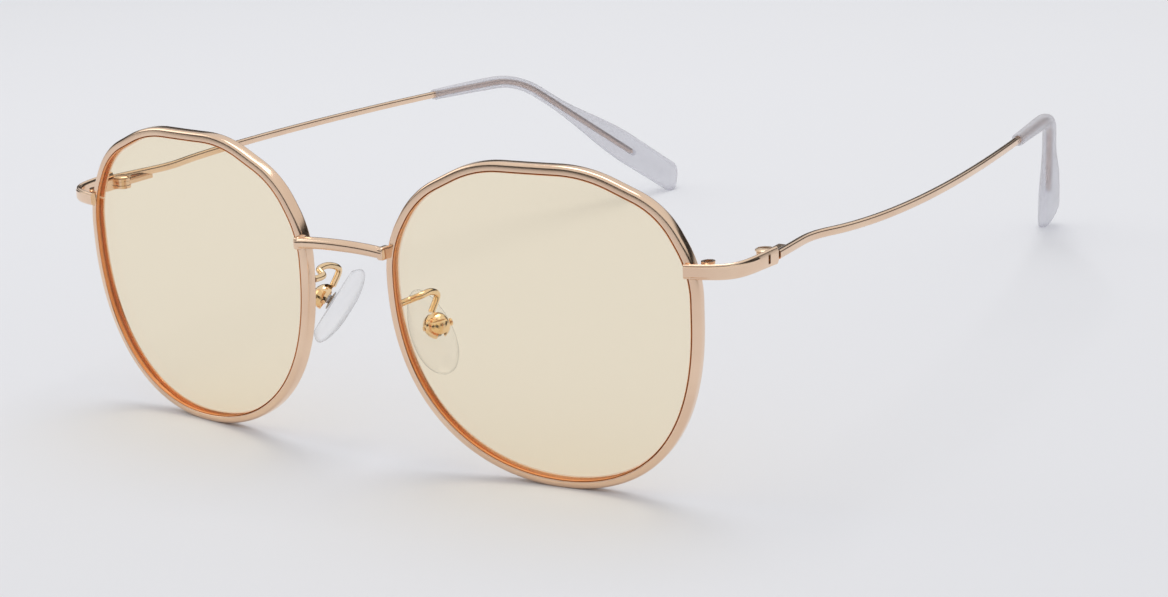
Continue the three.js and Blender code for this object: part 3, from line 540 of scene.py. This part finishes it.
def make_bar():
    """A circle carried along a shallow arch, drawn in a little at both ends."""
    end = np.array([seat[0] + bridge_overrun, bar_y, seat[2]])
    handle = np.array([end[0] / 2, bar_y - bridge_bow, seat[2] + bridge_rise])
    mirror = np.array([-1, 1, 1])
    line = curve([end * mirror, handle * mirror, handle, end], 120)
    across, upwards = soft_section(32)
    from_end = np.minimum(lengths_along(line), lengths_along(line)[::-1])
    radius = bridge_thickness / 2 * np.minimum(1, end_share + from_end / end_taper)[:, None]
    rings = swept(line, [0, 0, 1], radius * across, radius * upwards)
    return skin("bridge_bar", rings + [0, setback, 0])


def pillow(name, centre, size, squareness=0.45, axes=np.eye(3)):
    """A block with soft edges: a sphere whose sines and cosines are raised to a small power.

    The rows of axes say which way its width, depth and height run."""
    tilt_angle = np.linspace(-np.pi / 2, np.pi / 2, 18)[1:-1, None]
    turn = np.linspace(0, 2 * np.pi, 36, endpoint=False)[None, :]
    flat, rise = soften(np.cos(tilt_angle), squareness), soften(np.sin(tilt_angle), squareness)
    x = flat * soften(np.cos(turn), squareness)
    y = flat * soften(np.sin(turn), squareness)
    ball = np.stack([x, y, rise * np.ones_like(turn)], axis=-1)

    def scaled(points):
        return centre + (points * size / 2) @ axes

    low, high = np.array([[0, 0, -1.0]]), np.array([[0, 0, 1.0]])
    return skin(name, scaled(ball), scaled(low), scaled(high), crease=60)


place(make_bar(), "front", "bridge", rose_gold)
foot_at = np.array([seat[0] - foot_inset, bar_y + foot_back, seat[2]])
for side in SIDES:
    solder = pillow(f"bridge_solder_{side}", to_side(foot_at, side), foot_size)
    place(solder, "front", "bridge", rose_gold)

# %% [markdown]
# ## End pieces
#
# Each is a flat blade, square cut where it laps over the rim, then bent round and back to the hinge.
# A narrow slot passes through it just ahead of the hinge. A Boolean could cut the slot, but it would
# leave long thin faces that show as dents in polished metal. So the grid has lines on the slot's edges,
# and the few faces inside them are taken out.

# %% The blade
hinge = {j["name"]: j for j in frame["joints"]}["temple_left_fold"]["pos_m"]
hinge_x, hinge_y = hinge[0] / MM, hinge[1] / MM - setback
blade_z = on_eye(lock_edge[0], lock_height, 0.0)[2]
blade_thick, blade_splay = 0.9, 0.1
blade_height_front, blade_height_rear = 2.1, 2.6
blade_bend, blade_crown = 0.30, 0.13
blade_lap, blade_overhang, blade_sweep, blade_short_by = 1.3, 0.6, 4.6, 0.55
blade_x = hinge_x + barrel_radius + seat_gap + blade_thick / 2
blade_rear = hinge_y - blade_short_by
slot_wide, slot_tall, slot_ahead = 0.55, 1.3, 2.95


def blade_line():
    """Along the rim's front, out and round in one curve, then straight back to just before the pin."""
    back = -rim_depth / 2 - seat_gap - blade_thick / 2
    start = on_eye(lock_edge[0] - blade_lap, lock_height, back)
    over = on_eye(lock_edge[0] + blade_overhang, lock_height, back)
    rear = np.array([blade_x, blade_rear, blade_z])
    forwards = np.array([-blade_splay, -1.0, 0.0])
    turn = rear + forwards * blade_sweep
    ahead = over + unit(over - start) * blade_sweep
    lap = curve([start, over], 20)
    corner = curve([over, ahead, turn + forwards * blade_sweep, turn], 90)
    return np.vstack([lap[:-1], corner[:-1], curve([turn, rear], 40)])


def make_blade(side):
    """A crowned section with rounded edges, carried along the blade's line.

    Two stations lie on the slot's ends and two columns on its sides, so the faces between them are
    left out on both wide faces, and four walls join the openings."""
    line = blade_line()
    run = lengths_along(line)
    slot_y = hinge_y - slot_ahead
    slot_run = np.interp([slot_y - slot_wide / 2, slot_y + slot_wide / 2], line[:, 1], run)
    stops = np.unique(np.concatenate([np.linspace(0, run[-1], 110), slot_run]))
    clear_of_slot = (stops <= slot_run[0]) | (stops >= slot_run[1])
    line = at_distances(line, stops[clear_of_slot])
    share = (stops[clear_of_slot] / run[-1])[:, None]
    half = (blade_height_front + (blade_height_rear - blade_height_front) * share) / 2
    bend, flat, crown = blade_bend, blade_thick / 2, blade_crown
    turn = np.linspace(0.3, np.pi / 2, 5)
    slot = slot_tall / 2 * np.ones_like(half)
    rise = half - bend + bend * np.sin(turn)
    depth = flat - crown - bend + bend * np.cos(turn)
    high = np.concatenate([half - bend, slot, -slot, bend - half, -rise, -rise[:, ::-1]], axis=1)
    wide = np.concatenate([[flat - crown, flat, flat, flat - crown], depth, -depth[::-1]])
    upwards = np.concatenate([high, -high], axis=1)
    across = np.broadcast_to(np.concatenate([wide, -wide]), upwards.shape)
    rings = swept(line, [0, 0, 1], upwards, across)
    piece = skin(f"end_blade_{side}", to_side(rings, side), crease=25)
    slot_station = int(np.argmin(np.abs(stops[clear_of_slot] - slot_run[0])))
    return cut_slot(piece, rings.shape[1], slot_station)


def cut_slot(piece, around, station):
    """Takes out the faces of the slot on both wide sides and joins the two openings with walls."""
    points = np.array([v.co for v in piece.data.vertices]) / MM
    faces = [list(face.vertices) for face in piece.data.polygons]
    near, far = station * around, (station + 1) * around
    rear = around // 2 + 1
    openings = [{near + k, near + k + 1, far + k + 1, far + k} for k in (1, rear)]
    outer = next(face for face in faces if set(face) == openings[0])
    facing = {}
    for row in (near, far):
        facing |= {row + 1: row + rear + 1, row + 2: row + rear}
    kept = [face for face in faces if set(face) not in openings]
    walls = [[a, b, facing[b], facing[a]] for a, b in zip(outer, outer[1:] + outer[:1])]
    name = piece.name
    bpy.data.objects.remove(piece)
    return new_piece(name, points, kept + walls, crease=25)


for side in SIDES:
    place(make_blade(side), "front", f"end_piece_{side}", rose_gold)

# %% [markdown]
# ## Temples
#
# A temple is one drawn wire: a kink behind the hinge, a long bow round the head, and a bend down
# behind the ear. Its line is straight and curved pieces joined end to end, so that each bend keeps its
# own place and roundness, which one smooth curve through all of them would not.

# %% The temple's line
wire_start = np.array([blade_x + 0.1, blade_rear + 0.3, blade_z])
kink_in_by, kink_back, kink_drop = 1.0, 12.92, 0.4
bend_in_by, bend_back, bend_drop = 1.95, 119.05, 2.95
tip_in_by, tip_back, tip_height = 14.1, 42.2, 2.05
kink = np.array([wire_start[0] - kink_in_by, hinge_y + kink_back, blade_z - kink_drop])
bend = np.array([wire_start[0] - bend_in_by, hinge_y + bend_back, blade_z - bend_drop])
tip_end = np.array([bend[0] - tip_in_by, bend[1] + tip_back, tip_height])
# The handles of the long bow, from the kink and from the bend.
bow_front = kink + [7.96, 24.9, -1.31]
bow_rear = bend + [4.69, -35.96, 1.4]
kink_round, bend_round = 4.0, 7.5


def temple_line():
    """Straight, kink, bow, bend and drop, joined. Returns the line and where the bend begins and ends."""
    kink_in, kink_out = towards(kink, wire_start, kink_round), towards(kink, bow_front, kink_round)
    bend_in, bend_out = towards(bend, bow_rear, bend_round), towards(bend, tip_end, bend_round)
    parts = [
        curve([wire_start, kink_in], 20)[:-1],
        curve([kink_in, kink, kink_out], 30)[:-1],
        curve([kink_out, bow_front, bow_rear, bend_in], 240)[:-1],
        curve([bend_in, bend, bend_out], 60)[:-1],
        curve([bend_out, tip_end], 60),
    ]
    to_bend = sum(len(part) for part in parts[:3])
    line = np.vstack(parts)
    run = lengths_along(line)
    return line, run[to_bend], run[to_bend + len(parts[3])]


temple, bend_from, bend_to = temple_line()
temple_length = lengths_along(temple)[-1]
bend_middle = (bend_from + bend_to) / 2
mouth_ahead, core_share = 26.0, 0.72
mouth_at = bend_middle - mouth_ahead
core_end = bend_middle + (temple_length - bend_middle) * core_share
print(f"temple {temple_length:.1f} mm long, sleeve from {mouth_at:.1f} mm")


def smooth_step(x, low, high):
    """Zero below low, one above high, and 3 t^2 - 2 t^3 between."""
    t = np.clip((x - low) / (high - low), 0, 1)
    return t * t * (3 - 2 * t)


paddle_turn = math.radians(14)
look_along = 0.35


def temple_rings(stops, widths, heights, around, squareness):
    """Sections at distances along the temple. The paddle turns a little towards the head."""
    ahead, behind = at_distances(temple, stops + look_along), at_distances(temple, stops - look_along)
    side, up = side_and_up(unit(ahead - behind), [1, 0, 0])
    turn = (smooth_step(stops, bend_middle, temple_length) * paddle_turn)[:, None]
    side, up = side * np.cos(turn) + up * np.sin(turn), up * np.cos(turn) - side * np.sin(turn)
    x, y = soft_section(around, squareness)
    across, upwards = np.outer(widths / 2, x), np.outer(heights / 2, y)
    return rings_round(at_distances(temple, stops), side, up, across, upwards)


def swing(points, side):
    """Turns a temple piece in about its hinge by the angle at which it stands open."""
    angle = ajar[side]
    c, s = math.cos(angle), math.sin(angle)
    x, y = points[..., 0] - hinge_x, points[..., 1] - hinge_y
    return np.stack([hinge_x + c * x - s * y, hinge_y + s * x + c * y, points[..., 2]], axis=-1)

# %% [markdown]
# The wire's rear end is drawn down to a thinner core and runs inside a frosted sleeve, which spreads
# into a flat paddle at the tip. The sleeve could be a solid with a Boolean bore. Here one skin runs
# forward over its outside, turns in at the mouth and runs back down the bore, so the wall is real and
# the core shows through it.

# %% The wire and its sleeve
wire_wide, wire_high, core_round = 1.05, 1.3, 1.1
core_from, core_full = 1.0, 2.2
sleeve_neck, sleeve_mouth = 2.6, 2.2
paddle_high, paddle_thick, paddle_share, paddle_after = 7.6, 2.9, 0.62, 3.0
tip_reach, tip_radius, tip_high, tip_thick = 1.6, 2.0, 0.55, 0.3
lip_share, lip_length = 0.1, 0.4


def make_wire(side):
    """A soft rectangle, drawn down to a round core just inside the sleeve's mouth."""
    bow = np.linspace(0, bend_from, 260)[:-1]
    stops = np.concatenate([bow, np.linspace(bend_from, core_end, 70)])
    thin = smooth_step(stops, mouth_at + core_from, mouth_at + core_full)
    tip = np.sqrt(np.clip((core_end - stops) / 0.5, 0.15, 1))
    wide = wire_wide + (core_round - wire_wide) * thin
    high = wire_high + (core_round - wire_high) * thin
    rings = temple_rings(stops, wide * tip, high * tip, 20, 0.6)
    return skin(f"temple_bow_{side}", to_side(swing(rings, side), side))


def make_sleeve(side):
    """From the tip forward over the outside to the mouth, then back down the bore, as one skin.

    The flare is a smooth step, and the tip closes as a quarter of an ellipse."""
    outer = np.linspace(temple_length, mouth_at, 170)
    flare_from = bend_to + paddle_after
    flare_to = flare_from + (temple_length - bend_to - paddle_after) * paddle_share
    flare = smooth_step(outer, flare_from, flare_to)
    past = ((outer - (temple_length - tip_reach)) / tip_radius).clip(0, 1)
    round_tip = np.sqrt(np.clip(1 - past ** 2, 0.01, 1))
    slim = sleeve_mouth + (sleeve_neck - sleeve_mouth) * smooth_step(outer, mouth_at, bend_from)
    lip = 1 - lip_share * np.clip(1 - (outer - mouth_at) / lip_length, 0, 1)
    high = (slim + (paddle_high - slim) * flare) * lip * (tip_high + (1 - tip_high) * round_tip)
    thick = (slim + (paddle_thick - slim) * flare) * lip * (tip_thick + (1 - tip_thick) * round_tip)
    bore_mouth = np.linspace(mouth_at, mouth_at + 4, 12)
    bore = np.concatenate([bore_mouth, np.linspace(mouth_at + 5, core_end + 0.4, 80)])
    narrow = smooth_step(bore, mouth_at + core_full + 0.2, mouth_at + core_full + 1.0)
    bore_thick = wire_wide + 2 * seat_gap + (core_round - wire_wide) * narrow
    bore_high = wire_high + 2 * seat_gap + (core_round - wire_high) * narrow
    widths, heights = np.concatenate([thick, bore_thick]), np.concatenate([high, bore_high])
    rings = temple_rings(np.concatenate([outer, bore]), widths, heights, 32, 0.85)
    rings[..., 2] = np.maximum(rings[..., 2], 0.0)
    return skin(f"sleeve_{side}", to_side(swing(rings, side), side), crease=50)


for side in SIDES:
    place(make_wire(side), f"temple_{side}", f"temple_wire_{side}", rose_gold)
    place(make_sleeve(side), f"temple_{side}", f"temple_tip_{side}", sleeve_grey)

# %% [markdown]
# ## Nose pads and their arms
#
# A pad is a clear silicone cushion, narrower at the top, with a domed face against the nose. A sphere
# could be pressed into one, but rings from back to front give the flat back and the full rounded side.
# The pad lies at a slant, so its own directions are set first: up along it, and out of its face.

# %% The pad's own frame
pad_centre = np.array([8.55, 7.33, 20.15])
pad_long, pad_wide, pad_thick, pad_lift = 14.2, 6.9, 3.2, 1.3
pad_up = unit(np.array([-0.53, 0.22, 0.82]))
face_hint = np.array([-0.70, 0.42, -0.57])
pad_face = unit(face_hint - pad_up * (face_hint @ pad_up))
pad_across = np.cross(pad_up, pad_face)
pad_pivot = pad_centre - pad_face * (pad_lift + pad_thick / 2)

# %% The soft pads
pad_back_share, pad_fullest, pad_dome, pad_narrowing = 0.84, 0.42, 0.6, 0.16


def make_pad(side):
    """An oval cushion: rings rise from the flat back, swell, and close over a domed face.

    A ring's share of the full size grows as a sine of its height, then falls as a quarter ellipse.
    Each ring is narrower at its upper end."""
    rise = np.array([0, 0.05, 0.14, 0.27, 0.42, 0.56, 0.69, 0.80, 0.89, 0.95, 0.985])[:, None]
    swelling = pad_back_share + (1 - pad_back_share) * np.sin(rise / pad_fullest * np.pi / 2)
    doming = np.sqrt(np.clip(1 - ((rise - pad_fullest) / pad_dome) ** 2, 0, 1))
    share = np.where(rise < pad_fullest, swelling, doming)
    x, y = soft_section(56)
    wide = share * x * (1 - pad_narrowing * y) * pad_wide / 2
    long = share * y * pad_long / 2
    height = (pad_lift + rise * pad_thick) * np.ones_like(wide)
    pivot = pad_pivot + [0, 0, pad_rise[side]]
    rings = pivot + wide[..., None] * pad_across + long[..., None] * pad_up + height[..., None] * pad_face
    crown = to_side((pivot + (pad_lift + pad_thick) * pad_face)[None], side)
    back = to_side((pivot + pad_lift * pad_face)[None], side)
    return skin(f"silicone_pad_{side}", to_side(rings, side), back, crown)


for side in SIDES:
    pad = place(make_pad(side), f"pad_{side}", f"nose_pad_{side}", clear_silicone)

# %% [markdown]
# A small stamped plate lies behind each pad, with a lug that goes into the box. It shows grey through
# the silicone. A stamped outline could be drawn for it, but two soft blocks are enough at this size.

# %% The insert in each pad
plate_size, plate_lift = np.array([2.4, 3.0, 0.4]), 0.98
lug_size, lug_lift = np.array([0.9, 1.5, 1.9]), 0.1
dull_steel = plated("stamped_insert", (0.55, 0.53, 0.52), (0.45, 0.43, 0.42), 0.35)
for side in SIDES:
    mirror = np.array([SIDES[side], 1.0, 1.0])
    axes = np.stack([pad_across, pad_up, pad_face]) * mirror
    pivot = to_side(pad_pivot + [0, 0, pad_rise[side]], side)
    plate = pillow(f"insert_plate_{side}", pivot + plate_lift * axes[2], plate_size, 0.7, axes)
    lug = pillow(f"insert_lug_{side}", pivot + lug_lift * axes[2], lug_size, 0.6, axes)
    for piece in (plate, lug):
        place(piece, f"pad_{side}", f"pad_insert_{side}", dull_steel)

# %% [markdown]
# An arm is a soft gold wire bent by hand, out and back from the rim, and down to its box. A Blender
# curve with a round bevel could make it. Here a smooth line is worked out through a few bends, in the
# same way as the other wires, so that its root can be found on the rim.

# %% The pad arms
arm_thickness, arm_root, box_radius = 1.05, 2.0, 2.1
arm_bends = np.array([[0.1, 2.4, 0.0], [1.5, 3.3, 0.6], [1.6, 5.8, 0.6], [1.3, 7.8, -0.5]])


def through(points, count=40):
    """A smooth line through points: cubic pieces whose tangents weigh the square roots of the spans."""
    points = np.vstack([2 * points[0] - points[1], points, 2 * points[-1] - points[-2]])
    gaps = np.sqrt(np.linalg.norm(np.diff(points, axis=0), axis=1))
    pieces = []
    for p, (a, b, c) in zip(range(1, len(points) - 2), zip(gaps, gaps[1:], gaps[2:])):
        p0, p1, p2, p3 = points[p - 1:p + 3]
        leave = ((p1 - p0) / a - (p2 - p0) / (a + b) + (p2 - p1) / b) * b
        enter = ((p2 - p1) / b - (p3 - p1) / (b + c) + (p3 - p2) / c) * b
        pieces.append(curve([p1, p1 + leave / 3, p2 - enter / 3, p2], count)[:-1])
    return np.vstack(pieces + [points[-2:-1]])


def make_arm(side):
    """A round wire through the bends of the gooseneck, from the rim's back to the top of the box."""
    root_height = arm_root + pad_rise[side]
    edge = nasal_edge(root_height)
    root = on_eye(edge[0] + rim_wall / 2, root_height, rim_depth / 2 + seat_gap)
    box_top = pad_pivot + [0, 0, pad_rise[side]] + pad_up * (box_radius + seat_gap)
    line = through(np.vstack([root, root + arm_bends, box_top]))
    x, y = soft_section(18)
    across = np.tile(x * arm_thickness / 2, (len(line), 1))
    upwards = np.tile(y * arm_thickness / 2, (len(line), 1))
    return skin(f"gooseneck_{side}", to_side(swept(line, [1, 0, 0], across, upwards), side), crease=60)


for side in SIDES:
    place(make_arm(side), "front", f"pad_arm_{side}", pale_gold)

# %% [markdown]
# ## The small fittings
#
# Hinge leaves, locks, boxes and screws are small and flat-sided or already round enough, so drawing
# them again would add nothing. They keep their CAD shapes and take the plated materials.

# %% Materials for the CAD's own pieces
fitting_materials = {
    "rim_lock_upper": rose_gold, "rim_lock_lower": rose_gold, "rim_lock_screw": screw_gold,
    "hinge_front_leaf": rose_gold, "hinge_temple_leaf": rose_gold, "hinge_screw": screw_gold,
    "pad_box": pale_gold, "pad_screw": pale_gold,
}
for stem, material in fitting_materials.items():
    for side in SIDES:
        node = frame["nodes"][f"{stem}_{side}"]
        node.data.materials.clear()
        node.data.materials.append(material)
print("fittings:", ", ".join(fitting_materials))

# %% [markdown]
# ## Table, light and camera
#
# The glasses stand on a pale matt sheet. It is one large square, because a plain floor needs no more,
# and a slow drift in its colour keeps it from looking like a flat fill.

# %% The table
table_half, table_drop = 3, 0.00002
floor_mesh = bpy.data.meshes.new("table")
table_corners = [(x * table_half, y * table_half, 0) for x, y in ((-1, -1), (1, -1), (1, 1), (-1, 1))]
floor_mesh.from_pydata(table_corners, [], [(0, 1, 2, 3)])
floor = bpy.data.objects.new("table", floor_mesh)
floor.location.z = -table_drop
bpy.context.scene.collection.objects.link(floor)


def paper(name, colour):
    """Matt paper: a pale colour with a faint, slow drift and almost no shine."""
    material, tree, output, add = shader_tree(name)
    surface = add("ShaderNodeBsdfPrincipled", Roughness=0.85)
    surface.inputs["Specular IOR Level"].default_value = 0.15
    where = tree.nodes.new("ShaderNodeTexCoord")
    drift = add("ShaderNodeTexNoise", Scale=6.0, Detail=2.0)
    tree.links.new(where.outputs["Object"], drift.inputs["Vector"])
    tones = tree.nodes.new("ShaderNodeValToRGB")
    darker = tuple(c * 0.985 for c in colour)
    set_tones(tones.color_ramp, (0.0, darker), (1.0, colour))
    tree.links.new(drift.outputs["Fac"], tones.inputs["Fac"])
    tree.links.new(tones.outputs["Color"], surface.inputs["Base Color"])
    tree.links.new(surface.outputs["BSDF"], output.inputs["Surface"])
    return material


floor.data.materials.append(paper("pale_paper", (0.80, 0.806, 0.838)))
print("the table is", 2 * table_half, "m wide")

# %% [markdown]
# Polished metal shows what is round it more than its own colour. A large soft light hangs above and
# behind, and a second one fills from the left. A picture of a room could light the rest. A colour ramp
# on the height of the sky is plainer, and its dark band, low down, draws the thin dark lines in the
# metal.

# %% Lights
def soft_light(name, position, target, size, power, colour=(1, 1, 1)):
    """A rectangular area light turned towards a target."""
    data = bpy.data.lights.new(name, "AREA")
    data.shape, data.size, data.size_y = "RECTANGLE", size[0], size[1]
    data.energy, data.color = power, colour
    light = bpy.data.objects.new(name, data)
    bpy.context.scene.collection.objects.link(light)
    aim = Vector(target) - Vector(position)
    light.matrix_world = Matrix.Translation(position) @ aim.to_track_quat("-Z", "Y").to_matrix().to_4x4()
    return light


soft_light("overhead_softbox", (-0.1, 0.25, 0.95), (0, 0, 0), (0.6, 0.5), 2.7)
soft_light("side_softbox", (-0.9, -0.35, 0.5), (0, 0, 0), (0.4, 0.6), 0.8)

# %% The surroundings
def grey(tone):
    """An even grey as a colour."""
    return (tone, tone, tone)


world = bpy.data.worlds.new("studio")
bpy.context.scene.world = world
world.use_nodes = True
world_tree = world.node_tree
world_tree.nodes.clear()
sky = world_tree.nodes.new("ShaderNodeBackground")
sky_out = world_tree.nodes.new("ShaderNodeOutputWorld")
sky_where = world_tree.nodes.new("ShaderNodeTexCoord")
sky_height = world_tree.nodes.new("ShaderNodeSeparateXYZ")
sky_tones = world_tree.nodes.new("ShaderNodeValToRGB")
sky_marks = [(0.05, grey(0.50)), (0.09, grey(0.03)), (0.27, grey(0.03)), (0.36, grey(0.90))]
set_tones(sky_tones.color_ramp, (0.0, (0.75, 0.75, 0.77)), (1.0, grey(1.0)), sky_marks)
world_tree.links.new(sky_where.outputs["Generated"], sky_height.inputs["Vector"])
world_tree.links.new(sky_height.outputs["Z"], sky_tones.inputs["Fac"])
world_tree.links.new(sky_tones.outputs["Color"], sky.inputs["Color"])
world_tree.links.new(sky.outputs["Background"], sky_out.inputs["Surface"])
sky.inputs["Strength"].default_value = 0.83
bpy.context.scene.view_settings.view_transform = "Standard"
print("lights:", ", ".join(light.name for light in bpy.data.lights))

# %% [markdown]
# The camera looks down a little from the wearer's left, so that both lenses and both temples show. It
# could track an empty, but three angles and a distance say where it stands with nothing left over.

# %% Camera
azimuth, elevation, roll = math.radians(32.1), math.radians(16.26), math.radians(-2.34)
look_at = np.array([-0.004536, -0.015061, 0.005359])
distance, focal = 0.37762, 63.21


def camera_axes(azimuth, elevation, roll):
    """Right, up and forward for a camera at an azimuth and elevation, rolled about its line of sight."""
    forward = np.array([-math.sin(azimuth) * math.cos(elevation),
                        math.cos(azimuth) * math.cos(elevation), -math.sin(elevation)])
    right = np.array([math.cos(azimuth), math.sin(azimuth), 0])
    up = np.cross(right, forward)
    c, s = math.cos(roll), math.sin(roll)
    return c * right + s * up, c * up - s * right, forward


right, up, forward = camera_axes(azimuth, elevation, roll)
camera_data = bpy.data.cameras.new("camera")
camera_data.lens, camera_data.sensor_width, camera_data.clip_start = focal, 36.0, 0.01
camera = bpy.data.objects.new("camera", camera_data)
bpy.context.scene.collection.objects.link(camera)
turned = Matrix(np.stack([right, up, -forward], axis=1).tolist()).to_4x4()
camera.matrix_world = Matrix.Translation(look_at - forward * distance) @ turned
bpy.context.scene.camera = camera
print(f"the camera is {distance} m away, with a {focal} mm lens")
